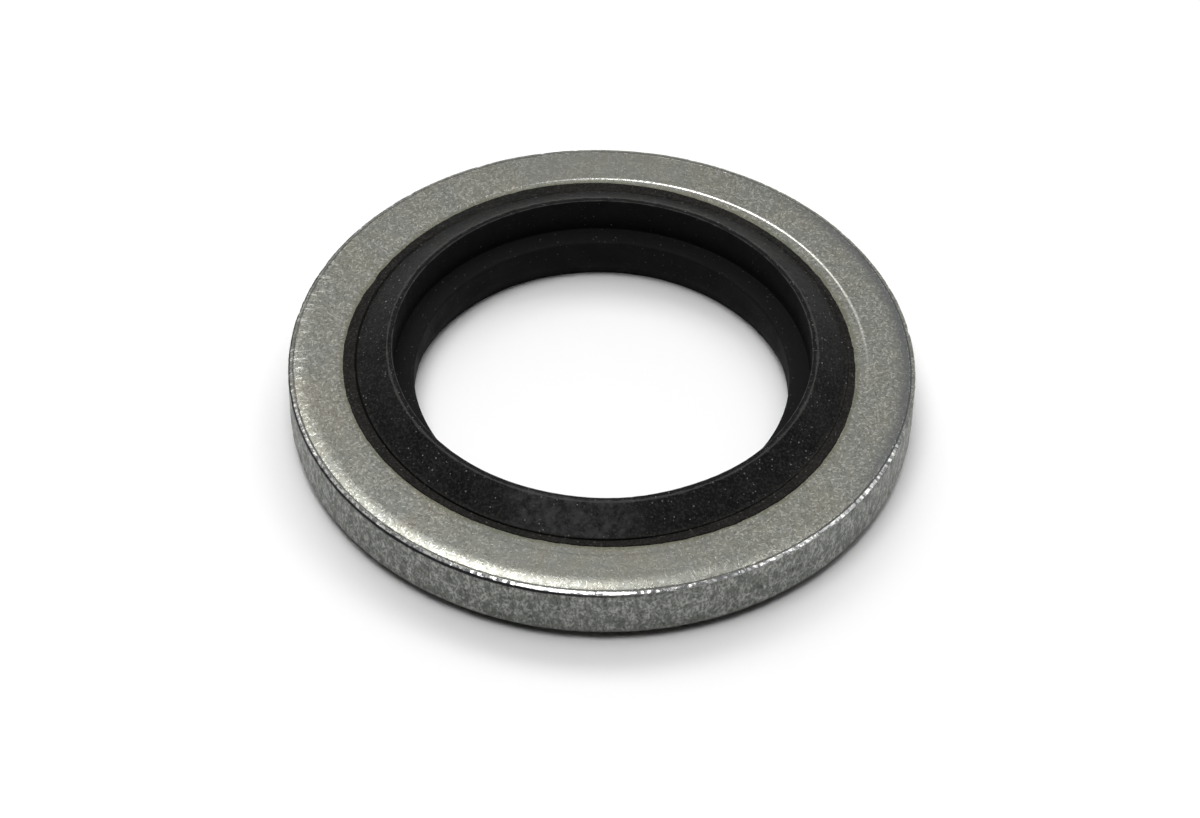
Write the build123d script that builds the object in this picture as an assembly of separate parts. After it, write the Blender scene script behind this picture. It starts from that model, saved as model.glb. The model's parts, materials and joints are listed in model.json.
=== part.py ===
from build123d import *
import math
import os

# Self-centring bonded seal for a G 1/4 thread, in millimetres.
#
# A flat steel ring is stamped from strip and plated. A rubber seal is moulded and bonded in its bore:
# a tall narrow lip stands proud of the upper face and a low broad one of the lower face. Below the
# bore of the tall lip the rubber steps inwards as a web, which grips the thread and so holds the seal
# central while the joint is done up. The web runs down into the low lip and opens out there as a
# lead-in for the thread.
#
# Frame: the origin is the centre of the bore, half way through the thickness of the steel, and +Z is
# the axis of the bore, out of the face with the tall lip. Every size across is built up outwards from
# the thread that the seal goes on.

# Thread and the rubber that meets it
thread_diameter = 13.16     # G 1/4 male thread, over its crests
lip_clearance = 0.29        # room between the thread and the bore of the tall lip, on the radius
web_grip = 0.41             # how far the centring web reaches in past the thread's crests
web_rise = 0.39             # upper face of the web above the middle of the ring
web_edge_rounding = 0.12
lead_in_width = 0.22        # the bore of the web opens out by this much where it ends
lead_in_height = 0.62

# Sealing lips
lip_width = 1.15            # from the bore of the tall lip out to its foot
lip_height = 0.67           # top of its crest above the face of the ring
crest_width = 0.18          # narrow flat on its top, with a sharp moulded edge at the bore
low_lip_height = 0.205      # crest of the low lip below the lower face of the ring
low_crest_width = 0.80      # broad flat on it, from the mouth of the bore
crest_rounding = 0.06       # where the flat of a lip turns into its slope
skirt_width = 0.38          # flat strip of rubber between the foot and the bore of the ring
skirt_height = 0.02         # the strip stands this much above the face of the ring

# Steel ring
ring_width = 1.885          # from the bore of the ring to its outside
ring_thickness = 2.03
land_width = 0.34           # band round the bore, pressed down where the mould shut on the ring
land_step = 0.02            # depth of the step at the outside of that band
land_ramp = 0.08            # width of the step
land_fall = 0.015           # the band falls this much more on its way to the bore
roll_width = 0.60           # die-roll round the upper outside edge, where the press cut began
roll_angle = 17.0           # slope of the die-roll where it meets the corner, in degrees
upper_corner_radius = 0.15
lower_corner_radius = 0.30  # the side where the cut broke out, rounded when the ring was tumbled

# Radii from the axis
lip_bore_radius = thread_diameter / 2 + lip_clearance
web_bore_radius = thread_diameter / 2 - web_grip
crest_edge_radius = lip_bore_radius + crest_width
mouth_radius = web_bore_radius + lead_in_width
low_crest_edge_radius = mouth_radius + low_crest_width
lip_foot_radius = lip_bore_radius + lip_width
ring_bore_radius = lip_foot_radius + skirt_width
outside_radius = ring_bore_radius + ring_width

# Heights above the middle of the ring, and depths below it
face_height = ring_thickness / 2
land_edge_height = face_height - land_step
bore_edge_height = land_edge_height - land_fall
skirt_top_height = face_height + skirt_height
crest_height = face_height + lip_height
low_crest_depth = face_height + low_lip_height
lead_in_depth = low_crest_depth - lead_in_height


def ring_section():
    """Half section of the steel ring, drawn clockwise from the inner end of its upper face."""
    roll_radius = roll_width / math.sin(math.radians(roll_angle))
    corner_inset = upper_corner_radius * (1 - math.sin(math.radians(roll_angle)))
    roll_start = outside_radius - corner_inset - roll_width
    land_start = ring_bore_radius + land_width
    ramp_foot = land_start - land_ramp
    with BuildLine() as outline:
        face = Line((land_start, face_height), (roll_start, face_height))
        roll = JernArc(face @ 1, face % 1, roll_radius, -roll_angle)
        corner = JernArc(roll @ 1, roll % 1, upper_corner_radius, roll_angle - 90)
        wall = Line(corner @ 1, (outside_radius, lower_corner_radius - face_height))
        lower_corner = JernArc(wall @ 1, wall % 1, lower_corner_radius, -90)
        Polyline(
            lower_corner @ 1,
            (land_start, -face_height),
            (ramp_foot, -land_edge_height),
            (ring_bore_radius, -bore_edge_height),
            (ring_bore_radius, bore_edge_height),
            (ramp_foot, land_edge_height),
            (land_start, face_height),
        )
    return outline.line


def seal_section():
    """Half section of the rubber, drawn from the foot of the tall lip round the bore to the low lip."""
    with BuildLine() as outline:
        FilletPolyline(
            (lip_foot_radius, skirt_top_height),
            (crest_edge_radius, crest_height),
            (lip_bore_radius, crest_height),
            (lip_bore_radius, web_rise),
            (web_bore_radius, web_rise),
            (web_bore_radius, -lead_in_depth),
            (mouth_radius, -low_crest_depth),
            (low_crest_edge_radius, -low_crest_depth),
            (lip_foot_radius, -skirt_top_height),
            radius=[crest_rounding, 0, 0, web_edge_rounding, 0, 0, crest_rounding],
        )
        Polyline(
            (lip_foot_radius, -skirt_top_height),
            (ring_bore_radius, -skirt_top_height),
            (ring_bore_radius, skirt_top_height),
            (lip_foot_radius, skirt_top_height),
        )
    return outline.line


def steel_ring():
    """Stamped ring: flat faces, die-roll above, tumbled corners and a pressed band round the bore."""
    with BuildPart() as ring:
        with BuildSketch(Plane.XZ):
            make_face(ring_section())
        revolve(axis=Axis.Z)
    return ring.part


def rubber_seal():
    """Moulded seal: the tall lip, the centring web and the low lip, round the wall that is bonded."""
    with BuildPart() as seal:
        with BuildSketch(Plane.XZ):
            make_face(seal_section())
        revolve(axis=Axis.Z)
    return seal.part


parts = {
    "steel_ring": steel_ring(),
    "rubber_seal": rubber_seal(),
}

os.makedirs("parts", exist_ok=True)
for name, solid in parts.items():
    export_step(solid, os.path.join("parts", name + ".step"))
    print(name, "volume", round(solid.volume, 3), "mm3")
print("outside diameter", round(2 * outside_radius, 3), "web bore", round(2 * web_bore_radius, 3))
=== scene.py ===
# %% [markdown]
# # A bonded sealing washer
#
# The object has two pieces. A flat steel ring is stamped from strip and zinc plated. A rubber seal is
# moulded and bonded in its bore. It has a tall lip on the upper face and a low broad one below, and
# from the bore of the tall lip it steps inwards as a web that grips the thread.
#
# The construction model is loaded first. It gives the places and the sizes, and its pieces are kept.

# %% Load the frame and keep its box
import json
import math

import bpy
import numpy as np
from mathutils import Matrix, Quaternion, Vector


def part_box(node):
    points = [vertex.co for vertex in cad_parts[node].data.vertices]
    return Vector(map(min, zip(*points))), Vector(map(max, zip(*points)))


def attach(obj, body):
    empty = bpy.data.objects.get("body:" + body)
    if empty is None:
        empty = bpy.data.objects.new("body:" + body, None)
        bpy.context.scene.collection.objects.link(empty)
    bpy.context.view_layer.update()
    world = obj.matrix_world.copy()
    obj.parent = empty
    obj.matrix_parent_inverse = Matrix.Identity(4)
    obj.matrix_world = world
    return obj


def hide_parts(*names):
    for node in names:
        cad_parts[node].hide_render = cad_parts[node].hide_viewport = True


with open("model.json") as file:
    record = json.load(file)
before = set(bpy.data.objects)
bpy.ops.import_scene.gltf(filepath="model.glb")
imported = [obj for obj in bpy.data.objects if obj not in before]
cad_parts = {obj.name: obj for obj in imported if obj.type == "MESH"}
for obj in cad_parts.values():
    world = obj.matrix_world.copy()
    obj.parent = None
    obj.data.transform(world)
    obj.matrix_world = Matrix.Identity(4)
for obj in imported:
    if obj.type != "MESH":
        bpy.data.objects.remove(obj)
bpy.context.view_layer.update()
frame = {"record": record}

# %% [markdown]
# ## Sizes
#
# Blender works in metres, but a washer is easier to think about in millimetres. So every length on
# the washer is in millimetres in this lesson, and a mesh is turned to metres once, when it is made.
# The main sizes are read from the frame. The small ones, such as the width of a crest, are written
# here by name.

# %% Sizes read from the frame
metres = 0.001              # one millimetre in metres
ring_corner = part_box("steel_ring")[1] / metres
seal_bottom, seal_corner = [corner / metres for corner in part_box("rubber_seal")]
mount_sizes = {m["name"]: m["dims"] for m in frame["record"]["mounts"]}

outside_radius = ring_corner.x
face_height = ring_corner.z             # height of the ring's face above the middle of the ring
crest_height = seal_corner.z
low_crest_depth = -seal_bottom.z        # the low lip's crest, on which the washer lies
web_bore_radius = mount_sizes["web_bore"]["r_mm"]
print("outside radius", round(outside_radius, 3), "face", round(face_height, 3))
print("crests", round(crest_height, 3), "and", -round(low_crest_depth, 3), "web bore", web_bore_radius)

# %% Small sizes of the ring
bond_radius = 8.40          # mean radius of the line where the rubber ends on the steel
steel_bore = bond_radius - 0.05         # both pieces go on a little past that line, out of sight
land_radius = 8.74          # the band inside this is pressed down by the mould
land_ramp = 0.055           # width of the step at the outside of that band
land_height = face_height - 0.02        # the band at the foot of that step
bore_edge_height = face_height - 0.035  # and where it ends at the steel's bore
roll_width = 0.546          # die-roll, where the punch pulled the edge down
roll_angle = math.radians(17.0)
burr_width = 0.03           # narrow flat where the die-roll ends
burr_drop = 0.0015          # and how far it falls on its way out
edge_facet = 0.13           # facet that tumbling rubbed on the upper edge, measured on the radius
facet_angle = math.radians(28.0)
lower_corner = 0.30         # rounding of the lower edge
deepest_roll = math.radians(255)        # the punch was a little out of line: the die-roll is deep here
most_worn = math.radians(-40)           # the upper edge took the most knocks here
deepest_step = math.radians(48)         # and the mould pressed hardest here
print("pressed band from", bond_radius, "to", land_radius, "mm, die-roll", roll_width, "mm wide")

# %% Small sizes of the seal
lip_bore_radius = 6.87
crest_edge_radius = 7.05    # the crest is a narrow flat between the lip's bore and this radius
crest_rounding = 0.08
crest_top = crest_height - 0.012        # leaves room for the crest's own unevenness
lip_foot_radius = 8.02
groove_radius = lip_foot_radius + 0.055     # fine groove that the mould left at the foot of the lip
foot_groove = 0.015         # its depth
skirt_height = face_height + 0.02
skirt_rounding = 0.035
web_rise = 0.39             # upper face of the web above the middle of the ring
web_rounding = 0.12
root_rounding = 0.03        # where the lip's bore meets the web
mouth_radius = web_bore_radius + 0.22   # the web opens out to this at the low lip
lead_in_depth = low_crest_depth - 0.62
lead_in_rounding = 1.2      # soft bend where the lead-in begins
low_crest_edge_radius = mouth_radius + 0.80
print("tall lip from", lip_bore_radius, "to", lip_foot_radius, "mm, low crest out to",
      round(low_crest_edge_radius, 2), "mm")

# %% [markdown]
# ## The camera
#
# The camera looks down at 45 degrees through a long lens, so the ring keeps nearly parallel sides. It
# aims a little in front of the ring's centre, which lifts the ring in the picture. The last number
# rolls the camera about its own line of sight.

# %% Camera
view_elevation = math.radians(45.02)
view_distance = 123.4
camera_lens = 112.8
camera_roll = math.radians(1.41)
nearest_seen = 0.01         # metres
aim_point = Vector((-0.03, -2.35, face_height))

camera_data = bpy.data.cameras.new("camera")
camera_data.lens = camera_lens
camera_data.clip_start = nearest_seen
camera = bpy.data.objects.new("camera", camera_data)
bpy.context.scene.collection.objects.link(camera)
bpy.context.scene.camera = camera

camera_back = view_distance * math.cos(view_elevation)
camera_up = view_distance * math.sin(view_elevation)
camera_place = Vector((0, -camera_back, face_height + camera_up))
sight_line = aim_point - camera_place
camera.rotation_mode = "QUATERNION"
camera.rotation_quaternion = sight_line.to_track_quat("-Z", "Y") @ Quaternion((0, 0, 1), camera_roll)
camera.location = camera_place * metres
print("camera is", round(camera_place.length, 1), "mm from the middle of the washer")

# %% [markdown]
# ## Formulas made of shader nodes
#
# A material in Blender is a graph of nodes. Written out one by one, nodes and links take many lines
# and hide what they work out. So here an output of a node is wrapped up as a wire, and wires can
# stand in a formula: each sign in it adds the node that does the sum.

# %% Wires
node_spacing = 190          # in the node editor's own units


class Wire:
    """One output of a shader node, which stands in a formula like a number or a vector."""

    def __init__(self, node, output=0):
        self.tree = node.id_data
        self.socket = node.outputs[output]

    def __add__(self, other):
        return maths("ADD", self, other)

    def __sub__(self, other):
        return maths("SUBTRACT", self, other)

    def __rsub__(self, other):
        return maths("SUBTRACT", other, self)

    def __mul__(self, other):
        return maths("MULTIPLY", self, other)

    def __truediv__(self, other):
        return maths("DIVIDE", self, other)

    def __rtruediv__(self, other):
        return maths("DIVIDE", other, self)

    def __pow__(self, other):
        return maths("POWER", self, other)

    def __abs__(self):
        return maths("ABSOLUTE", self)

    def __gt__(self, other):
        return maths("GREATER_THAN", self, other)

    def __lt__(self, other):
        return maths("LESS_THAN", self, other)


def feed(socket, value):
    """Links a socket to a wire, or sets it to a plain number, vector or colour."""
    if isinstance(value, Wire):
        value.tree.links.new(value.socket, socket)
    else:
        socket.default_value = value


def add_node(tree, kind, inputs=None, **settings):
    """Adds a shader node, sets its options and feeds the inputs named in a dictionary."""
    node = tree.nodes.new("ShaderNode" + kind)
    node.location.x = node_spacing * len(tree.nodes)
    for name, value in settings.items():
        setattr(node, name, value)
    for name, value in (inputs or {}).items():
        feed(node.inputs[name], value)
    return node


def maths(operation, *values):
    """One Math node, or one Vector Math node where a wire among the values carries a vector."""
    wires = [value for value in values if isinstance(value, Wire)]
    has_vector = any(wire.socket.type == "VECTOR" for wire in wires)
    node = add_node(wires[0].tree, "VectorMath" if has_vector else "Math", operation=operation)
    for socket, value in zip(node.inputs, values):
        feed(socket, value)
    return Wire(node)


print("wires can be added, multiplied, divided and compared")

# %% Masks, mixes and patterns
def ramp(value, start, end, low=0.0, high=1.0):
    """A smooth step: low where the value is at start, high where it is at end, and flat beyond. The
    step falls where start is above end."""
    limits = {"Value": value, "From Min": start, "From Max": end, "To Min": low, "To Max": high}
    return Wire(add_node(value.tree, "MapRange", limits, interpolation_type="SMOOTHSTEP"), "Result")


def mix(share, first, second):
    """The first where the share is 0, the second where it is 1. A colour may be (red, green, blue)."""
    colours = isinstance(second, tuple) or second.socket.type == "RGBA"
    kind, data_type = ("RGBA", "RGBA") if colours else ("VALUE", "FLOAT")
    node = add_node(share.tree, "Mix", data_type=data_type)
    feed(node.inputs[0], share)
    ends = [socket for socket in node.inputs if socket.type == kind][-2:]
    for socket, value in zip(ends, (first, second)):
        feed(socket, (*value, 1) if isinstance(value, tuple) else value)
    return Wire(node, [socket.type for socket in node.outputs].index(kind))


def layered(colour, layers):
    """A colour with others laid over it in turn, each layer given as (share, colour)."""
    for share, over in layers:
        colour = mix(share, colour, over)
    return colour


def split(value):
    """The three parts of a vector or of a colour."""
    kind, name = ("Color", "Color") if value.socket.type == "RGBA" else ("XYZ", "Vector")
    node = add_node(value.tree, "Separate" + kind, {name: value})
    return [Wire(node, i) for i in range(3)]


def noise(place, scale, detail, roughness):
    """Cloudy noise between 0 and 1, about 0.5 on average."""
    settings = {"Vector": place, "Scale": scale, "Detail": detail, "Roughness": roughness}
    return Wire(add_node(place.tree, "TexNoise", settings), "Fac")


def cells(place, size, **settings):
    """Voronoi cells of a size: the distance from a cell's middle over the size, the cell's own three
    random numbers, and the place of its middle."""
    node = add_node(place.tree, "TexVoronoi", {"Vector": place, "Scale": 1.0 / size}, **settings)
    return Wire(node, "Distance"), split(Wire(node, "Color")), Wire(node, "Position")


print("masks, mixes and patterns are ready")

# %% Node groups and materials
def new_group(name, inputs, outputs):
    """A node group with named sockets: the group, a wire for each input, and its output sockets.

    Inputs are (name, kind, default) and outputs are (name, kind), where a kind is Float, Vector or
    Color.
    """
    group = bpy.data.node_groups.new(name, "ShaderNodeTree")
    for title, kind, default in inputs:
        socket = group.interface.new_socket(title, in_out="INPUT", socket_type="NodeSocket" + kind)
        if default is not None:
            socket.default_value = default
    for title, kind in outputs:
        group.interface.new_socket(title, in_out="OUTPUT", socket_type="NodeSocket" + kind)
    entry = group.nodes.new("NodeGroupInput")
    way_out = group.nodes.new("NodeGroupOutput")
    return group, {title: Wire(entry, title) for title, _, _ in inputs}, way_out.inputs


def use_group(group, **sockets):
    """Puts a group in the tree of its Place. Spaces in a socket's name are written as underscores."""
    tree = sockets["Place"].tree
    node = tree.nodes.new("ShaderNodeGroup")
    node.node_tree = group
    node.location.x = node_spacing * len(tree.nodes)
    for name, value in sockets.items():
        feed(node.inputs[name.replace("_", " ")], value)
    return {socket.name: Wire(node, socket.name) for socket in node.outputs}


def new_material(name):
    """A material and its tree of nodes, which is still empty."""
    material = bpy.data.materials.new(name)
    material.use_nodes = True
    material.node_tree.nodes.clear()
    return material, material.node_tree


# %% [markdown]
# ## Floor and light
#
# The washer lies on a plain white table. The camera and the reflections see it as pure white wherever
# nothing shades it, while the light that bounces off it is that of ordinary white board.
# Light Path tells the two apart. The table is lit, not glowing, so it keeps the washer's soft shadow.
#
# The light has two jobs, so there are two kinds of lamp. Two wide fill lamps, one overhead and one
# behind, light the table and the rubber. They set how dark and how wide the shadow is, and glossy rays
# do not see them. Plated steel shows what it mirrors instead. Looked at from 45 degrees its face
# mirrors the grey wall behind the washer, and only slopes that tip towards the camera reach a lamp. The
# back box makes the highlight along the die-roll, the front box the bright line of the facet below it,
# and a dim card on each side lifts the curves to left and right. The boxes light nothing but their
# own reflections, so a highlight can be moved while the shadow stays as it is.

# %% Table
table_radius = 1.2
table_height = -low_crest_depth * metres
fade_start, fade_end = 0.06, 0.20       # metres from the washer, where the table turns to plain white
board_white, pure_white = (0.8, 0.8, 0.8, 1), (1, 1, 1, 1)


def seen_directly(tree):
    """1 for rays from the camera and for mirrored or transmitted ones, 0 for light that bounces on."""
    path = add_node(tree, "LightPath")
    seen = maths("MAXIMUM", Wire(path, "Is Camera Ray"), Wire(path, "Is Glossy Ray"))
    return maths("MAXIMUM", seen, Wire(path, "Is Transmission Ray"))


def mix_shaders(share, first, second):
    """The first shader where the share is 0."""
    node = add_node(share.tree, "MixShader")
    for socket, value in zip(node.inputs, (share, first, second)):
        feed(socket, value)
    return Wire(node)


table_material, tree = new_material("white_table")
seen = seen_directly(tree)
table_place = Wire(add_node(tree, "TexCoord"), "Object")
away = Wire(add_node(tree, "VectorMath", {"Vector": table_place}, operation="LENGTH"), "Value")
board = Wire(add_node(tree, "BsdfDiffuse", {"Color": board_white}))
white = Wire(add_node(tree, "BsdfDiffuse", {"Color": pure_white}))
glow = Wire(add_node(tree, "Emission", {"Color": pure_white, "Strength": 1.0}))
seen_white = mix_shaders(ramp(away, fade_start, fade_end), white, glow)
add_node(tree, "OutputMaterial", {"Surface": mix_shaders(seen, board, seen_white)})

rim_points = 96
turn = np.linspace(0, 2 * np.pi, rim_points, endpoint=False)
rim = np.stack([table_radius * np.cos(turn), table_radius * np.sin(turn), 0 * turn + table_height], 1)
table_mesh = bpy.data.meshes.new("table")
table_mesh.from_pydata(rim.tolist(), [], [list(range(rim_points))])
table_mesh.materials.append(table_material)
table = bpy.data.objects.new("table", table_mesh)
bpy.context.scene.collection.objects.link(table)
print("table at", round(table_height / metres, 3), "mm")

# %% Lamps
def soft_box(name, centre, width, depth, power):
    """A rectangular lamp that faces the washer. Its centre and sides are in metres, power in watts."""
    lamp = bpy.data.lights.new(name, "AREA")
    lamp.shape = "RECTANGLE"
    lamp.size = width
    lamp.size_y = depth
    lamp.energy = power
    lamp_object = bpy.data.objects.new(name, lamp)
    lamp_object.location = centre
    lamp_object.rotation_mode = "QUATERNION"
    lamp_object.rotation_quaternion = (-Vector(centre)).to_track_quat("-Z", "Y")
    lamp_object.visible_camera = False
    bpy.context.scene.collection.objects.link(lamp_object)
    return lamp_object


front_box = soft_box("front_soft_box", (-0.05, -0.16, 0.50), 0.24, 0.14, 0.45)
overhead_fill = soft_box("overhead_fill", (-0.05, -0.06, 0.505), 0.26, 0.26, 1.15)
back_fill = soft_box("back_fill", (0.03, 0.33, 0.50), 0.60, 0.18, 1.28)
back_box = soft_box("back_soft_box", (-0.10, 0.128, 0.50), 0.23, 0.12, 0.42)
left_card = soft_box("left_card", (-0.27, 0.29, 0.50), 0.24, 0.40, 0.32)
right_card = soft_box("right_card", (0.30, 0.10, 0.50), 0.24, 0.28, 0.24)
for fill in (overhead_fill, back_fill):
    fill.visible_glossy = False
for box in (front_box, back_box):
    box.visible_diffuse = False
lamps = (front_box, back_box, overhead_fill, back_fill, left_card, right_card)
print("lamps in watts:", {lamp.name: round(lamp.data.energy, 2) for lamp in lamps})

# %% Room
# Seen directly or mirrored, the room is a backdrop that darkens as it rises. For bounced light it is a
# wall at the back, brightest low down, and a ceiling. Straight up is 1 in the limits of a ramp.
low_wall, high_wall = 0.70, 0.35
ceiling_level = 0.55
low_backdrop, high_backdrop = 1.0, 0.52

room = bpy.data.worlds.new("room")
bpy.context.scene.world = room
room.use_nodes = True
tree = room.node_tree
tree.nodes.clear()
seen = seen_directly(tree)
_, back, up = split(Wire(add_node(tree, "TexCoord"), "Generated"))
back_wall = ramp(back, -0.05, 0.35) * ramp(up, 0.62, 0.30, high_wall, low_wall)
ceiling = ramp(up, 0.82, 0.98, 0.0, ceiling_level)
backdrop = ramp(up, 0.05, 0.22, low_backdrop, high_backdrop)
level = mix(seen, back_wall + ceiling, backdrop)
room_light = add_node(tree, "Background", {"Color": pure_white, "Strength": level})
add_node(tree, "OutputWorld", {"Surface": Wire(room_light)})
bpy.context.scene.view_settings.view_transform = "Standard"
print("room is made of", len(tree.nodes), "nodes")

# %% [markdown]
# ## Surfaces worked out as arrays
#
# Both pieces are round, so both are made the same way: a closed outline is drawn in the plane of
# radius and height and carried once round the axis. That gives a grid of points, one direction round
# the axis and one along the outline, and the whole grid is worked out at once as numpy arrays. It is
# better than Blender's Screw or Spin here because each point can then be moved by a little that
# depends on where it is: a real stamped edge is never a perfect circle. Each point also keeps the
# radius and the height that it had on the drawn outline, as two attributes that the materials read, so
# that a line of dirt follows its edge when the edge wanders.

# %% Rounded outline
def rounded_outline(corners):
    """Points of a closed outline with rounded corners.

    A corner is (radius, height, rounding, steps, run). Between its two tangent points the curve is a
    true arc: the weighted mean of the first tangent point, the corner and the second tangent point,
    with weights (1 - s) squared, 2 s (1 - s) times the cosine of half the turn, and s squared, where s
    goes from 0 to 1. The straight run that follows gets as many points as run says, closer together
    near its ends.
    """
    spots = np.array([c[:2] for c in corners], float)
    to_next = np.roll(spots, -1, axis=0) - spots
    to_next /= np.linalg.norm(to_next, axis=1, keepdims=True)
    from_last = np.roll(to_next, 1, axis=0)
    half_turn = np.arccos(np.clip((to_next * from_last).sum(1), -1, 1)) / 2
    reach = np.array([c[2] for c in corners]) * np.tan(half_turn)
    arc_starts = spots - from_last * reach[:, None]
    arc_ends = spots + to_next * reach[:, None]
    pieces = []
    for i, (_, _, _, steps, run) in enumerate(corners):
        s = np.linspace(0, 1, steps)[:, None] if steps > 1 else np.array([[0.5]])
        weight = 2 * s * (1 - s) * math.cos(half_turn[i])
        arc = (1 - s) ** 2 * arc_starts[i] + weight * spots[i] + s**2 * arc_ends[i]
        pieces.append(arc / ((1 - s) ** 2 + weight + s**2))
        along = (1 - np.cos(np.pi * np.arange(1, run + 1) / (run + 1)))[:, None] / 2
        next_start = arc_starts[(i + 1) % len(corners)]
        pieces.append(arc_ends[i] * (1 - along) + next_start * along)
    return np.concatenate(pieces)


def outline_normals(outline):
    """Unit normals of a closed outline: the direction from the last point to the next, turned 90
    degrees, away from the material when the outline runs clockwise."""
    ahead = np.roll(outline, -1, axis=0) - np.roll(outline, 1, axis=0)
    ahead /= np.linalg.norm(ahead, axis=1, keepdims=True)
    return np.stack([-ahead[:, 1], ahead[:, 0]], axis=1)


def distance_along(outline):
    """Distance of each point of an outline from the first, measured along the outline."""
    steps = np.linalg.norm(np.diff(outline, axis=0), axis=1)
    return np.concatenate([[0], np.cumsum(steps)])


def grid_round_axis(outline, steps):
    """Angles as a column, and as rows the outline's radius, height, normal (out, up) and distance."""
    angle = np.linspace(-np.pi, np.pi, steps, endpoint=False)[:, None]
    radius, height = outline.T[:, None, :]
    normal_out, normal_up = outline_normals(outline).T[:, None, :]
    return angle, radius, height, normal_out, normal_up, distance_along(outline)[None, :]


square = [(0, 0, 0.1, 4, 1), (0, 1, 0.1, 4, 1), (1, 1, 0.1, 4, 1), (1, 0, 0.1, 4, 1)]
print("a square with rounded corners has", len(rounded_outline(square)), "points")

# %% Random ripples and dents that close on themselves
def ripples(angle, along, seed, turns, leans, count=24):
    """Smooth random bumps of about unit height.

    It is the sum of cosines of (turns times the angle round the axis, plus lean times the distance
    along the outline, plus a random start), scaled by the root of 2 over their number. The turns are
    whole numbers picked between the two given, so that the pattern closes on itself.
    """
    draw = np.random.default_rng(seed)
    whole_turns = draw.integers(turns[0], turns[1] + 1, count)
    lean = draw.uniform(-leans, leans, count)
    start = draw.uniform(0, 2 * np.pi, count)
    total = 0
    for k in range(count):
        total = total + np.cos(whole_turns[k] * angle + lean[k] * along + start[k])
    return total * math.sqrt(2 / count)


def turn_from(angle, middle):
    """Angle from the middle, between minus half a turn and half a turn."""
    return np.angle(np.exp(1j * (angle - middle)))


def dents(angle, along, radius, seed, count, place, spread, widths, depths):
    """Small pits at random places round an edge.

    Each pit is minus its depth times exp(-(a squared + b squared)), where a is the distance round the
    ring and b the distance along the outline from the pit's middle, both over its width. A pit is
    0.6 to 1.8 times as long round the ring as it is wide.
    """
    draw = np.random.default_rng(seed)
    middle = draw.uniform(-np.pi, np.pi, count)
    where = place + spread * draw.uniform(-1, 1, count)
    width = draw.uniform(*widths, count)
    stretch = draw.uniform(0.6, 1.8, count)
    depth = draw.uniform(*depths, count)
    total = 0
    for k in range(count):
        a = turn_from(angle, middle[k]) * radius / (width[k] * stretch[k])
        b = (along - where[k]) / width[k]
        total = total - depth[k] * np.exp(-(a**2) - b**2)
    return total


def near(value, middle, width):
    """1 at the middle, falling to 0 like a bell curve: exp(-(distance over width) squared)."""
    return np.exp(-(((value - middle) / width) ** 2))


def step(value, start, end):
    """Smooth step from 0 at start to 1 at end: 3 t squared - 2 t cubed."""
    t = np.clip((value - start) / (end - start), 0, 1)
    return t * t * (3 - 2 * t)


print("ripples and dents are ready")

# %% A ring mesh from a grid
def ring_mesh(name, radius, height, angle, outline):
    """Mesh of a surface carried round the axis.

    A point is (radius times cosine of the angle, radius times sine of the angle, height), and each
    array is a grid with one row for each angle. The faces join each point with its neighbours, and
    the last row and column join up with the first, so the surface is closed. Two attributes keep the
    radius and the height that each point has on the drawn outline, for the masks of the finishes.
    """
    points = np.stack([radius * np.cos(angle), radius * np.sin(angle), height + 0 * radius], axis=-1)
    rows, columns = points.shape[:2]
    index = np.arange(rows * columns).reshape(rows, columns)
    right = np.roll(index, -1, axis=1)
    corners = [index, np.roll(index, -1, axis=0), np.roll(right, -1, axis=0), right]
    quads = np.stack(corners, axis=-1).reshape(-1, 4)
    points = points.reshape(-1, 3)
    first, second, third, fourth = (points[quads[:, i]] for i in range(4))
    wedge = np.einsum("ij,ij->i", first, np.cross(second, third) + np.cross(third, fourth))
    volume = wedge.sum() / 6            # below zero where the faces point inwards
    if volume < 0:
        quads = quads[:, ::-1]
    mesh = bpy.data.meshes.new(name)
    mesh.vertices.add(len(points))
    mesh.vertices.foreach_set("co", (points * metres).astype(np.float32).ravel())
    mesh.loops.add(quads.size)
    mesh.loops.foreach_set("vertex_index", quads.astype(np.int32).ravel())
    mesh.polygons.add(len(quads))
    mesh.polygons.foreach_set("loop_start", np.arange(0, quads.size, 4, dtype=np.int32))
    mesh.update(calc_edges=True)
    mesh.validate()
    mesh.shade_smooth()
    for axis, title in enumerate(("drawn_radius", "drawn_height")):
        drawn = mesh.attributes.new(title, "FLOAT", "POINT")
        drawn.data.foreach_set("value", np.tile(outline[:, axis], rows).astype(np.float32))
    piece = bpy.data.objects.new(name, mesh)
    bpy.context.scene.collection.objects.link(piece)
    print(name, "has", 2 * len(quads), "triangles and a volume of", round(abs(volume), 2), "mm3")
    return piece


# %% [markdown]
# ## The bond line
#
# The rubber doesn't end on the steel in a perfect circle. The mould shuts on the ring a little off
# centre, and the rubber creeps a few hundredths of a millimetre further here than there. The line
# wanders slowly, so it is a sum of a few waves round the ring, with finer raggedness on top. Both
# pieces use it, so that they still meet.

# %% Where rubber ends on steel
bond_waves = [(0.066, 162), (0.041, -103), (0.058, -115), (0.017, 60), (0.010, 170)]
notch_angle, notch_depth = math.radians(157), 0.035


def bond_offset(angle):
    """How far the bond line lies outside its mean radius: the sum of size times the cosine of (wave
    number times the angle, less its phase in degrees), plus fine ripples and one notch."""
    slow = sum(size * np.cos((k + 1) * angle - math.radians(phase))
               for k, (size, phase) in enumerate(bond_waves))
    ragged = 0.005 * ripples(angle, 0 * angle, 11, (20, 90), 0)
    ragged += 0.003 * ripples(angle, 0 * angle, 12, (90, 300), 0)
    return slow + ragged - notch_depth * near(angle, notch_angle, 0.04)


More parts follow.
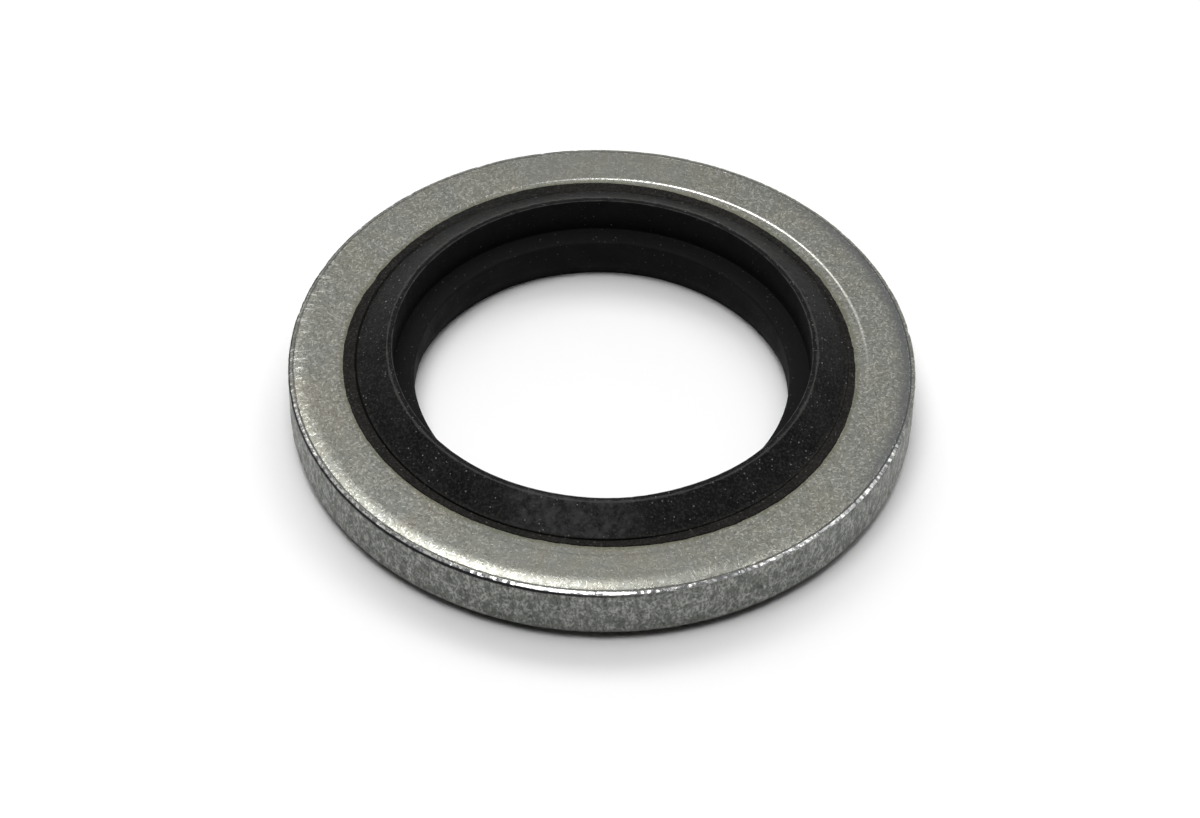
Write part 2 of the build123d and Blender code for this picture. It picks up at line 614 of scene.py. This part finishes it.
test_angle = np.linspace(-np.pi, np.pi, 720)
print("bond line runs from", round(bond_radius + bond_offset(test_angle).min(), 3), "to",
      round(bond_radius + bond_offset(test_angle).max(), 3), "mm from the axis")

# %% [markdown]
# ## The steel ring
#
# The ring is stamped from strip. The punch pulls the upper outside edge down in a soft slope, the
# die-roll, and leaves a torn wall below it. Tumbling then rubs a narrow facet on the upper edge and
# rounds the lower one. The mould presses a band round the bore down by two hundredths of a
# millimetre, and the little step at its outside is what catches the light.
#
# Nothing here is quite even. The press pulls harder on one side, so the die-roll is deepest there, the
# mould's band is deepest on another side, and the edge is roughest where the ring was knocked most.
# Each of these fades with the angle round the ring.
#
# The outline lists these corners in order. Each gets its own rounding, so the surface is smooth all
# round and no edge is infinitely sharp.

# %% Outline of the ring
roll_start = outside_radius - edge_facet - burr_width - roll_width
roll_radius = roll_width / math.sin(roll_angle)
roll_corner = roll_start + roll_radius * math.tan(roll_angle / 2)
burr_start = roll_start + roll_width + 0.001
burr_height = face_height - (burr_start - roll_corner) * math.tan(roll_angle)
facet_start = burr_start + burr_width
facet_end_height = burr_height - (outside_radius - facet_start) * math.tan(facet_angle)

ring_corners = [            # radius, height, rounding, points on the arc, points on the run after it
    (steel_bore, -bore_edge_height, 0.03, 3, 1),
    (steel_bore, bore_edge_height, 0.03, 3, 3),
    (land_radius - land_ramp, land_height, 0.04, 3, 1),
    (land_radius, face_height, 0.10, 5, 4),
    (roll_corner, face_height, roll_radius, 13, 0),
    (burr_start, burr_height, 0.03, 3, 0),
    (facet_start, burr_height - burr_drop, 0.02, 3, 2),
    (outside_radius, facet_end_height, 0.06, 5, 11),
    (outside_radius, -face_height, lower_corner, 8, 5),
    (land_radius, -face_height, 0.10, 3, 1),
    (land_radius - land_ramp, -land_height, 0.04, 2, 2),
]
ring_outline = rounded_outline(ring_corners)
print("ring outline has", len(ring_outline), "points, facet ends at", round(facet_end_height, 3))

# %% Carry the ring's outline round the axis
# Each pattern is a height in millimetres times ripples, kept to its place by a mask.
ring_steps = 1200
angle, profile_radius, profile_height, out, up, along = grid_round_axis(ring_outline, ring_steps)

upper_heights = 0.7, 0.8                # a mask for the upper side fades in between these
face_heights = 0.9, 0.95                # and one for the face between these
wall_heights = 0.75, 0.95               # the wall fades out between these, above and below
wall_radii = outside_radius - 0.085, outside_radius - 0.015
on_top = step(profile_height, *upper_heights)
crease = near(profile_radius, land_radius, 0.05) * on_top
upper_edge = near(profile_radius, facet_start + 0.04, 0.08) * on_top
wall = step(profile_radius, *wall_radii) * (1 - step(abs(profile_height), *wall_heights))

swell = 0.0016 * ripples(angle, along, 21, (2, 14), 1.6)
fine = 0.0006 * ripples(angle, along, 22, (20, 120), 9.0)
beads = 0.0020 * crease * ripples(angle, 0 * along, 23, (150, 420), 0)
more_worn = 1 + 1.2 * near(turn_from(angle, most_worn), 0, 0.6)
edge_wear = more_worn * upper_edge * (0.0030 * ripples(angle, 0 * along, 24, (60, 380), 0)
                                      + 0.004 * ripples(angle, 0 * along, 25, (6, 40), 0))
torn_wall = wall * (0.0028 * ripples(angle, along, 26, (40, 240), 3.0)
                    + 0.003 * ripples(angle, along, 27, (10, 60), 2.0))
from_edge = abs(ring_outline[:, 0] - facet_start) + abs(ring_outline[:, 1] - burr_height)
edge_place = along[0, np.argmin(from_edge)]
nicks = dents(angle, along, outside_radius, 28, 70, edge_place + 0.08, 0.12, (0.03, 0.09), (0.004, 0.02))
push = swell + fine + beads + edge_wear + torn_wall + nicks

follow_bond = 1 - step(profile_radius, bond_radius + 0.10, land_radius - land_ramp - 0.02)
ring_radius_grid = profile_radius + push * out + bond_offset(angle) * follow_bond

least_roll, least_step = 0.48, 0.40     # depth of the die-roll and of the step where they are least
droop = (1 + least_roll) / 2 + (1 - least_roll) / 2 * np.cos(angle - deepest_roll)
on_roll = step(profile_radius, roll_start - 0.1, roll_start) * step(profile_height, -0.2, facet_end_height)
drop = np.clip(face_height - profile_height, 0, face_height - facet_end_height) * on_roll
step_share = least_step + 0.42 * near(turn_from(angle, deepest_step), 0, 0.8)
in_band = step(profile_height, *face_heights) * (1 - step(profile_radius, land_radius, 9.2))
sunk = (face_height - profile_height) * in_band
ring_height_grid = profile_height + push * up + drop * (1 - droop) + sunk * (1 - step_share)
steel_ring = ring_mesh("zinc_plated_ring", ring_radius_grid, ring_height_grid, angle, ring_outline)

# %% [markdown]
# ## The rubber seal
#
# The seal is one moulding. From the steel inwards it has a flat skirt, a fine groove at the foot of
# the tall lip, the lip's slope up to a narrow crest, a sharp inner edge, and a straight bore down to
# the web. The web's own bore runs down and opens out into the mouth of the low lip, whose crest is a
# broad flat. The outline goes round these in that order. The groove is where the two halves of the
# mould's insert met, and it is cut clean on the front left and almost filled on the far side.

# %% Outline of the seal
bond_overlap = 0.004        # the rubber starts this much above the edge of the steel's bore
bond_edge_height = bore_edge_height + bond_overlap

seal_corners = [            # the same five values as for the ring
    (steel_bore, bond_edge_height, 0.0, 1, 1),
    (bond_radius, bond_edge_height, 0.004, 2, 0),
    (bond_radius, skirt_height, skirt_rounding, 5, 4),
    (groove_radius + 0.035, skirt_height, 0.02, 3, 0),
    (groove_radius, skirt_height - foot_groove, 0.012, 3, 0),
    (groove_radius - 0.035, skirt_height + 0.004, 0.015, 3, 0),
    (lip_foot_radius - 0.03, skirt_height + 0.010, 0.40, 6, 6),
    (crest_edge_radius, crest_top, crest_rounding, 4, 3),
    (lip_bore_radius, crest_top, 0.012, 3, 8),
    (lip_bore_radius, web_rise, root_rounding, 6, 3),
    (web_bore_radius, web_rise, web_rounding, 6, 5),
    (web_bore_radius, -lead_in_depth, lead_in_rounding, 9, 3),
    (mouth_radius, -low_crest_depth, 0.04, 4, 4),
    (low_crest_edge_radius, -low_crest_depth, 0.06, 4, 5),
    (lip_foot_radius, -skirt_height, 0.1, 3, 2),
    (bond_radius, -skirt_height, skirt_rounding, 4, 0),
    (bond_radius, -bond_edge_height, 0.004, 2, 0),
    (steel_bore, -bond_edge_height, 0.0, 1, 3),
]
seal_outline = rounded_outline(seal_corners)
print("seal outline has", len(seal_outline), "points, top", round(seal_outline[:, 1].max(), 3),
      "bottom", round(seal_outline[:, 1].min(), 3))

# %% Carry the seal's outline round the axis
seal_steps = 840
angle, profile_radius, profile_height, out, up, along = grid_round_axis(seal_outline, seal_steps)

free = 1 - step(profile_radius, bond_radius - 0.06, bond_radius - 0.01)
at_crest = near(profile_radius, crest_edge_radius, 0.12)
swell = 0.004 * ripples(angle, along, 31, (2, 12), 1.2)
fine = 0.0010 * ripples(angle, along, 32, (20, 140), 8.0)
crest_wear = 0.003 * at_crest * ripples(angle, 0 * along, 33, (30, 200), 0)
push = (swell + fine + crest_wear) * free
follow_bond = step(profile_radius, lip_foot_radius + 0.08, bond_radius - 0.12)
seal_radius_grid = profile_radius + push * out + bond_offset(angle) * follow_bond

toward_front_left = -np.sin(angle) - 0.7 * np.cos(angle)
groove_share = 0.1 + 0.9 * step(toward_front_left, 0.1, 0.8)
in_groove = near(profile_radius, groove_radius, 0.03) * step(profile_height, *face_heights)
seal_height_grid = profile_height + push * up + in_groove * foot_groove * (1 - groove_share)
seal_height_grid = np.maximum(seal_height_grid, -low_crest_depth)      # the low lip lies on the table
rubber_seal = ring_mesh("moulded_rubber_seal", seal_radius_grid, seal_height_grid, angle, seal_outline)

# %% [markdown]
# ## Marks that both finishes share
#
# Steel and rubber have been through the same handling, so some marks lie on both: short scuffs, dirt
# or wear along an edge, patches where the finish is a little different, and dust. Each kind is a node
# group here, built once and used with other values in each material. They read the place on the
# washer in millimetres, which comes from Object coordinates, so that a width of 0.03 is a width of
# 0.03 mm on the part.

# %% Scuffs: one short stroke in each cell of a Voronoi pattern
scuffs_group, entry, way_out = new_group(
    "scuffs",
    [("Place", "Vector", None), ("Cell", "Float", 0.2), ("Length", "Float", 0.08),
     ("Width", "Float", 0.015), ("Share", "Float", 0.9)],
    [("Stroke", "Float"), ("Tone", "Float")],
)
_, chance, middle = cells(entry["Place"], entry["Cell"], voronoi_dimensions="2D")
from_middle = entry["Place"] * (1, 1, 0) - middle
heading = chance[0] * math.pi
turned = add_node(scuffs_group, "VectorRotate", {"Vector": from_middle, "Angle": heading},
                  rotation_type="Z_AXIS")
lengthwise, crosswise, _ = split(Wire(turned))
off_middle = abs(lengthwise / entry["Length"]) ** 2.0 + abs(crosswise / entry["Width"]) ** 2.0
stroke = maths("EXPONENT", off_middle * -1.0)
feed(way_out["Stroke"], stroke * (chance[1] < entry["Share"]))
feed(way_out["Tone"], chance[2] * 2.0 - 1.0)
print("a scuff is a bell-shaped stroke at the middle of its cell, turned by the cell's own angle")

# %% Edge band: a line round the washer, broken up by noise
thinnest = 0.0005           # millimetres, so that nothing is divided by 0
edge_band_group, entry, way_out = new_group(
    "edge_band",
    [("Place", "Vector", None), ("Radius", "Float", 0.0), ("Height", "Float", 0.0),
     ("Edge Radius", "Float", 10.0), ("Edge Height", "Float", 1.0), ("Width", "Float", 0.1),
     ("Grain", "Float", 3.0), ("Break", "Float", 0.5)],
    [("Band", "Float")],
)
off_radius = entry["Radius"] - entry["Edge Radius"]
off_height = entry["Height"] - entry["Edge Height"]
off_line = maths("SQRT", off_radius * off_radius + off_height * off_height)
wander = (noise(entry["Place"], entry["Grain"], 3.0, 0.65) - 0.5) * 3.0
ragged_width = entry["Width"] * (wander * entry["Break"] + 1.0)
share = off_line / maths("MAXIMUM", ragged_width, thinnest)
feed(way_out["Band"], ramp(share, 1.0, 0.4))
print("an edge band is 1 on a circle round the axis and falls to 0 at its ragged width")

# %% Patches: slow mottling, and dust
patches_group, entry, way_out = new_group(
    "patches",
    [("Place", "Vector", None), ("Size", "Float", 1.0), ("Low", "Float", 0.4), ("High", "Float", 0.6)],
    [("Patch", "Float")],
)
mottle = noise(entry["Place"], 1.0 / entry["Size"], 4.0, 0.6)
feed(way_out["Patch"], ramp(mottle, entry["Low"], entry["High"]))

dust_group, entry, way_out = new_group(
    "dust",
    [("Place", "Vector", None), ("Cell", "Float", 0.4), ("Size", "Float", 0.02), ("Share", "Float", 0.4)],
    [("Speck", "Float"), ("Tone", "Float")],
)
distance, chance, _ = cells(entry["Place"], entry["Cell"])
speck_size = entry["Size"] * (chance[0] ** 3.0 + 0.4)
near_middle = ramp(distance * entry["Cell"] / speck_size, 1.0, 0.6)
feed(way_out["Speck"], near_middle * (chance[1] < entry["Share"]))
feed(way_out["Tone"], chance[2])
print("patches are soft, dust specks have hard edges and only a share of the cells has one")

# %% Places on the washer, and the groups put to use
def place_on_washer(tree):
    """Wires for a material: the place in millimetres, and the radius and height on the outline."""
    spot = Wire(add_node(tree, "TexCoord"), "Object")
    place = spot / (metres, metres, metres)
    radius = Wire(add_node(tree, "Attribute", attribute_name="drawn_radius"), "Fac")
    height = Wire(add_node(tree, "Attribute", attribute_name="drawn_height"), "Fac")
    return place, radius, height


def rolled_flat(place, across):
    """A band round the washer rolled out flat: (angle round from the front times the outside radius,
    across, 0)."""
    x, y, _ = split(place)
    around = maths("ARCTAN2", x, y * -1.0) * outside_radius
    return Wire(add_node(place.tree, "CombineXYZ", {"X": around, "Y": across}))


def patches(place, size, low, high):
    """Mask of soft patches about as large as the size: 0 where the noise is low, 1 where high."""
    return use_group(patches_group, Place=place, Size=size, Low=low, High=high)["Patch"]


def edge_line(spot, edge_radius, edge_height, width, grain, broken):
    """Mask of a ragged line round the washer, at a radius and a height on the drawn outline."""
    place, radius, height = spot
    return use_group(edge_band_group, Place=place, Radius=radius, Height=height, Width=width, Grain=grain,
                     Break=broken, Edge_Radius=edge_radius, Edge_Height=edge_height)["Band"]


def stroke_height(marks, depth):
    """Height of a stroke: the stroke times its tone times its depth. Half of them stand up as burrs."""
    return marks["Stroke"] * marks["Tone"] * depth


print("the wall rolled out flat is", round(2 * math.pi * outside_radius, 2), "mm long")

# %% [markdown]
# ## Zinc plate
#
# The ring was plated and then tumbled in a barrel with hundreds of others. That leaves the faces dull
# and covered in short scuffs that lie in all directions, each of which tilts the surface by a few
# degrees and so flashes or goes dark on its own. Here the scuffs are heights in a Bump node, so that
# they flash wherever the lamp really is. Their colour is painted lighter and darker too, partly as
# polish and partly as painted glints and painted shade, and fewer of these show at the front and back.
#
# The side wall is different. It was torn, not cut, when the ring left the strip, so the zinc on it is
# darker and mottled with upright streaks and pits. The facet between the two was rubbed bright, and the
# die-roll is nicked down to bare metal on the left. Painted shade darkens the die-roll on the right,
# where it mirrors little light, and the lower edge, where the table shades it. A painted highlight
# brightens the step of the pressed band on the right and at the back, where it glints, and the step is
# smoother there. The metal stays one material, and masks made from radius and height say which finish
# is where.

# %% Zinc: where each finish is
zinc, tree = new_material("tumbled_zinc_plate")
spot = place, radius, height = place_on_washer(tree)
x, y, _ = split(place)

on_wall = (ramp(radius, outside_radius - 0.115, outside_radius - 0.055)
           * ramp(height, facet_end_height + 0.012, facet_end_height - 0.008))
above_wall = ramp(height, facet_end_height - 0.006, facet_end_height + 0.016)
on_facet = above_wall * ramp(radius, facet_start - 0.006, facet_start + 0.009)
on_roll = above_wall * ramp(radius, roll_start - 0.029, burr_start - 0.026)
print("the facet starts at radius", round(facet_start, 3), "and the die-roll at", round(roll_start, 3))

# %% Zinc: scuffs and grain, as heights in millimetres
coarse_height, fine_height, scratch_height = 0.0014, 0.0012, 0.0012
face_grain_height, nick_depth = 0.0040, 0.006
tear_height, wall_scuff_height, wall_grain_height = 0.05, 0.006, 0.012
facet_smoothness = 0.7      # rubbing took this share of the marks off the facet
from_left = -8.6, -9.5      # the nicks fade in between these places across the washer

flat_place = place * (1, 1, 0)
shifted = flat_place + (31.7, 12.3, 0)
coarse = use_group(scuffs_group, Place=flat_place, Cell=0.15, Length=0.070, Width=0.018, Share=0.9)
fine = use_group(scuffs_group, Place=shifted, Cell=0.085, Length=0.040, Width=0.014, Share=0.9)
scratches = use_group(scuffs_group, Place=shifted, Cell=1.1, Length=0.35, Width=0.012, Share=0.35)
pinholes = patches(flat_place, 0.045, 0.36, 0.64)
wall_scuffs = use_group(scuffs_group, Place=rolled_flat(place, height), Cell=0.26, Length=0.10,
                        Width=0.030, Share=0.8)
grain = noise(place, 9.0, 4.0, 0.7) - 0.5
nicks = patches(rolled_flat(place, radius * 0.2), 0.16, 0.58, 0.66) * (on_roll * ramp(x, *from_left))

face_bumps = stroke_height(coarse, coarse_height) + stroke_height(fine, fine_height)
face_bumps = face_bumps + stroke_height(scratches, scratch_height) + grain * face_grain_height
face_bumps = face_bumps - nicks * nick_depth
upright = place * (1, 1, 0.6)
torn = noise(upright, 2.6, 5.0, 0.7) - 0.5
wall_bumps = torn * tear_height + stroke_height(wall_scuffs, wall_scuff_height) + grain * wall_grain_height
bumps = mix(on_wall, face_bumps * (1.0 - on_facet * facet_smoothness), wall_bumps)
zinc_bump = Wire(add_node(tree, "Bump", {"Height": bumps, "Strength": 1.0, "Distance": metres}))
print("face scuffs are up to", coarse_height, "mm high, and the torn wall spans", tear_height, "mm")

# %% Zinc: colour of the faces
plain_zinc, warm_zinc = (0.400, 0.404, 0.362), (0.425, 0.410, 0.345)
cool_zinc, cloudy_zinc = (0.360, 0.382, 0.368), (0.30, 0.30, 0.27)
pinhole_grey, bare_nick = (0.24, 0.24, 0.21), (0.90, 0.90, 0.86)
# bright and dull scuff colours: partly real polish and dullness, partly painted glints and painted shade
dull_scuff_shade, bright_scuff_glint = (0.17, 0.17, 0.15), (0.85, 0.85, 0.76)

warm = patches(place, 2.2, 0.42, 0.66)
cool = patches(place + (7.1, 3.3, 0), 1.3, 0.50, 0.72)
cloudy = patches(place, 0.35, 0.30, 0.70)
# painted glints and painted shade: polished scuffs are painted lighter and dull ones darker, partly as
# real polish and partly as painted light, and fewer of them show at the front and the back
polish_and_glints = maths("MAXIMUM", coarse["Stroke"] * (coarse["Tone"] > 0.3), fine["Stroke"] * (fine["Tone"] > 0.3))
dull_and_shaded_scuffs = maths("MAXIMUM", coarse["Stroke"] * (coarse["Tone"] < -0.1), fine["Stroke"] * (fine["Tone"] < -0.2))
glint_and_fleck_share = ramp(abs(x), 1.5, 5.0, 0.48, 0.90)        # fewer scuffs show at the front and the back
face_colour = layered(mix(warm, plain_zinc, warm_zinc), [
    (cool * 0.6, cool_zinc),
    (cloudy * 0.24, cloudy_zinc),
    (pinholes * 0.30, pinhole_grey),
    (dull_and_shaded_scuffs * glint_and_fleck_share, dull_scuff_shade),
    (polish_and_glints * glint_and_fleck_share, bright_scuff_glint),
    (nicks * 0.7, bare_nick),
])
print("a polished scuff is", round(bright_scuff_glint[0] / dull_scuff_shade[0], 1), "times as bright as a dull one")

# %% Zinc: colour of the wall
dark_wall, light_wall = (0.152, 0.159, 0.144), (0.360, 0.365, 0.345)
wall_speck, pit_black, wall_glint = (0.095, 0.102, 0.092), (0.035, 0.037, 0.033), (0.46, 0.47, 0.45)

wall_patch = patches(upright, 0.24, 0.34, 0.66)
wall_fine = patches(upright, 0.075, 0.38, 0.62)
wall_pits = patches(upright + (5.5, 2.2, 9.1), 0.20, 0.60, 0.68)
wall_light = wall_scuffs["Stroke"] * (wall_scuffs["Tone"] > 0.2)
wall_colour = layered(mix(wall_patch, dark_wall, light_wall), [
    (wall_fine * 0.85, wall_speck),
    (wall_light * 0.6, wall_glint),
    (wall_pits * 0.60, pit_black),
])
print("the wall's dark zinc is", round(dark_wall[0] / plain_zinc[0], 2), "times as bright as the face's")

# %% Zinc: marks along the edges, with painted shade and a painted highlight
burr_edge = 10.142, 0.93    # radius and height
dirt_edge = bond_radius + 0.02, 0.99
rubbed = on_facet * ramp(y, 0.5, -4.5)
chipped = patches(place, 0.16, 0.42, 0.56)
worn_away = patches(place, 1.5, 0.48, 0.60) * ramp(x, 1.5, 3.0)
facet_colour = mix(maths("MAXIMUM", chipped, worn_away), (0.86, 0.86, 0.82), (0.30, 0.305, 0.31))
# painted shade: the die-roll is painted darker and bluer on the right, where it mirrors little light
roll_painted_shade = on_roll * ramp(y * 0.15 + x, 5.5, 9.5) * (1.0 - on_facet)
under_facet = edge_line(spot, outside_radius, facet_end_height - 0.015, 0.085, 2.5, 0.35)
on_left_front = ramp(x, 4.0, -1.5)
burr_line = edge_line(spot, *burr_edge, 0.030, 2.5, 0.6)
# painted shade: the lower edge is painted nearly black, where the table shades it
low_edge_painted_shade = ramp(radius, 9.9, 10.05) * ramp(height, -0.84, -0.97)
bond_dirt = edge_line(spot, *dirt_edge, 0.13, 1.6, 0.9)
step_middle = land_radius - land_ramp / 2
# painted highlight: the step of the pressed band is painted near white where it glints, and it is smoother
# there
step_painted_glint = edge_line(spot, step_middle, face_height - 0.01, 0.06, 1.5, 0.8)
step_painted_glint = step_painted_glint * ramp(x * 0.6 + y * 0.8, 4.5, 7.5)        # only on the right and at the back
print("the step that shines is at radius", round(step_middle, 3))

# %% Zinc: the shader
# the die-roll's bluish grey and the corner's black below are painted shade, and the step's near white is a
# painted highlight
roll_shade_zinc, facet_shadow, burr_grey = (0.185, 0.195, 0.205), (0.018, 0.018, 0.020), (0.10, 0.10, 0.105)
shade_black, bond_yellow, glint_white = (0.030, 0.030, 0.030), (0.20, 0.20, 0.11), (0.86, 0.86, 0.80)

zinc_colour = layered(mix(on_wall, face_colour, wall_colour), [
    (rubbed * 0.95, facet_colour),
    (roll_painted_shade * 0.75, roll_shade_zinc),
    (under_facet * on_left_front, facet_shadow),
    (burr_line * 0.7, burr_grey),
    (low_edge_painted_shade * 0.85, shade_black),
    (bond_dirt * 0.45, bond_yellow),
    (step_painted_glint * 0.7, glint_white),
])
face_rough = cloudy * 0.06 + 0.27 - step_painted_glint * 0.09 - polish_and_glints * 0.12 - on_facet * 0.17
wall_rough = wall_patch * -0.10 + 0.54
zinc_shader = add_node(tree, "BsdfPrincipled", {
    "Base Color": zinc_colour, "Metallic": 1.0, "Roughness": mix(on_wall, face_rough, wall_rough),
    "Normal": zinc_bump,
})
add_node(tree, "OutputMaterial", {"Surface": Wire(zinc_shader)})
steel_ring.data.materials.append(zinc)
print("zinc material has", len(tree.nodes), "nodes")

# %% [markdown]
# ## Moulded rubber
#
# Nitrile rubber comes out of the mould a deep, slightly brown black with a dull sheen. What makes it
# look like rubber is what lies on it: handling scuffs that scatter a little grey light, a bloom of
# brownish dirt on the flat skirt next to the steel, and white specks of dust. Painted light is laid on
# it too: thin grey painted highlights along the crest, the lip's bore and the web's edge, and a painted
# grey sheen on the front of the slope, where the front lamp is mirrored. The groove at the lip's foot
# is painted black on the front left, where it is deep, as painted shade. A very low specular level
# keeps the walls of the bore nearly black, as they are on the part.

# %% Rubber: marks, painted highlights, painted sheen and painted shade
rubber, tree = new_material("moulded_black_rubber")
spot = place, radius, height = place_on_washer(tree)
x, y, _ = split(place)
scuffed = use_group(scuffs_group, Place=place * (1, 1, 0), Cell=0.30, Length=0.12, Width=0.020, Share=0.5)
haze = patches(place, 0.9, 0.38, 0.68)
specks = patches(place, 0.085, 0.47, 0.62)
dust = use_group(dust_group, Place=place, Cell=0.20, Size=0.026, Share=0.45)
grit = use_group(dust_group, Place=place, Cell=0.10, Size=0.026, Share=0.5)
rubber_grain = noise(place, 8.0, 4.0, 0.65)

upper_side = ramp(height, 0.95, 1.0)
on_skirt = ramp(radius, lip_foot_radius - 0.10, lip_foot_radius + 0.04) * upper_side
on_slope = ramp(radius, lip_bore_radius + 0.03, lip_bore_radius + 0.13) * upper_side
# painted highlights: thin grey lines along the crest, the lip's bore and the web's edge, where those edges
# glint
crest_highlight = edge_line(spot, crest_edge_radius, crest_top, 0.05, 2.0, 1.2)
inner_edge_highlight = edge_line(spot, lip_bore_radius, crest_top, 0.035, 3.0, 1.4)
web_edge_highlight = edge_line(spot, web_bore_radius + 0.06, web_rise - 0.02, 0.05, 1.6, 1.6)
# painted shade: the groove at the lip's foot is painted black on the front left
foot_groove_shade = edge_line(spot, groove_radius, skirt_height - 0.01, 0.060, 2.0, 0.4)
lines = maths("MAXIMUM", crest_highlight * 0.28, web_edge_highlight * 0.02)
lines = maths("MAXIMUM", lines, inner_edge_highlight * 0.35)

on_front_left = ramp(x + y * 0.7, 2.0, -5.0)
# painted sheen: a grey patch on the front of the slope, where the front lamp is mirrored
across_front = ramp(x, -3.4, -2.2) * ramp(x, 1.8, 0.4)
painted_sheen_patch = across_front * ramp(y, -4.0, -6.0) * on_slope * patches(place, 0.3, 0.35, 0.7)
painted_sheen_patch = painted_sheen_patch * (1.0 - on_skirt)
specks_seen = on_slope * 0.7 + 0.3      # fewer specks lie in the bore
print("rubber has a bloom on the skirt, lines along its edges, scuffs and dust")

# %% Rubber: the shader
# the highlight grey and the sheen grey below are painted light, and the groove's black is painted shade
bore_black, slope_black = (0.0100, 0.0100, 0.0102), (0.0055, 0.0054, 0.0053)
haze_grey, skirt_bloom = (0.0140, 0.0140, 0.0144), (0.0135, 0.0125, 0.0105)
speck_grey, scuff_grey = (0.050, 0.049, 0.047), (0.16, 0.16, 0.15)
highlight_grey, sheen_grey, groove_shade_black = (0.13, 0.13, 0.125), (0.075, 0.076, 0.080), (0.001, 0.001, 0.001)
grit_grey, dust_white = (0.42, 0.42, 0.42), (0.62, 0.62, 0.58)
grain_height, scuff_height, dust_height = 0.012, 0.002, 0.010

rubber_colour = layered(mix(on_slope, bore_black, slope_black), [
    (haze * (on_slope * 0.6), haze_grey),
    (on_skirt * (haze * 0.5 + 0.4), skirt_bloom),
    (specks * (on_slope * 0.36), speck_grey),
    (scuffed["Stroke"] * (on_slope * 0.04), scuff_grey),
    (lines, highlight_grey),
    (painted_sheen_patch * 0.45, sheen_grey),
    (foot_groove_shade * (on_front_left * 0.9), groove_shade_black),
    (grit["Speck"] * (grit["Tone"] * (specks_seen * 0.45)), grit_grey),
    (dust["Speck"] * (dust["Tone"] * 0.6 + 0.05) * specks_seen, dust_white),
])
rubber_bumps = rubber_grain * grain_height + stroke_height(scuffed, scuff_height)
rubber_bumps = rubber_bumps + dust["Speck"] * dust_height
rubber_bump = Wire(add_node(tree, "Bump", {"Height": rubber_bumps, "Strength": 1.0, "Distance": metres}))
rubber_rough = haze * 0.14 + 0.66 + on_slope * -0.36 + on_skirt * 0.2
rubber_shader = add_node(tree, "BsdfPrincipled", {
    "Base Color": rubber_colour, "Roughness": rubber_rough, "Specular IOR Level": 0.05,
    "Normal": rubber_bump,
})
add_node(tree, "OutputMaterial", {"Surface": Wire(rubber_shader)})
rubber_seal.data.materials.append(rubber)
print("rubber material has", len(tree.nodes), "nodes")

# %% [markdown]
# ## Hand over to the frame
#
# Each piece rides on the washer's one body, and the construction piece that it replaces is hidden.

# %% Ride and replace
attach(steel_ring, "root")
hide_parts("steel_ring")
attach(rubber_seal, "root")
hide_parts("rubber_seal")
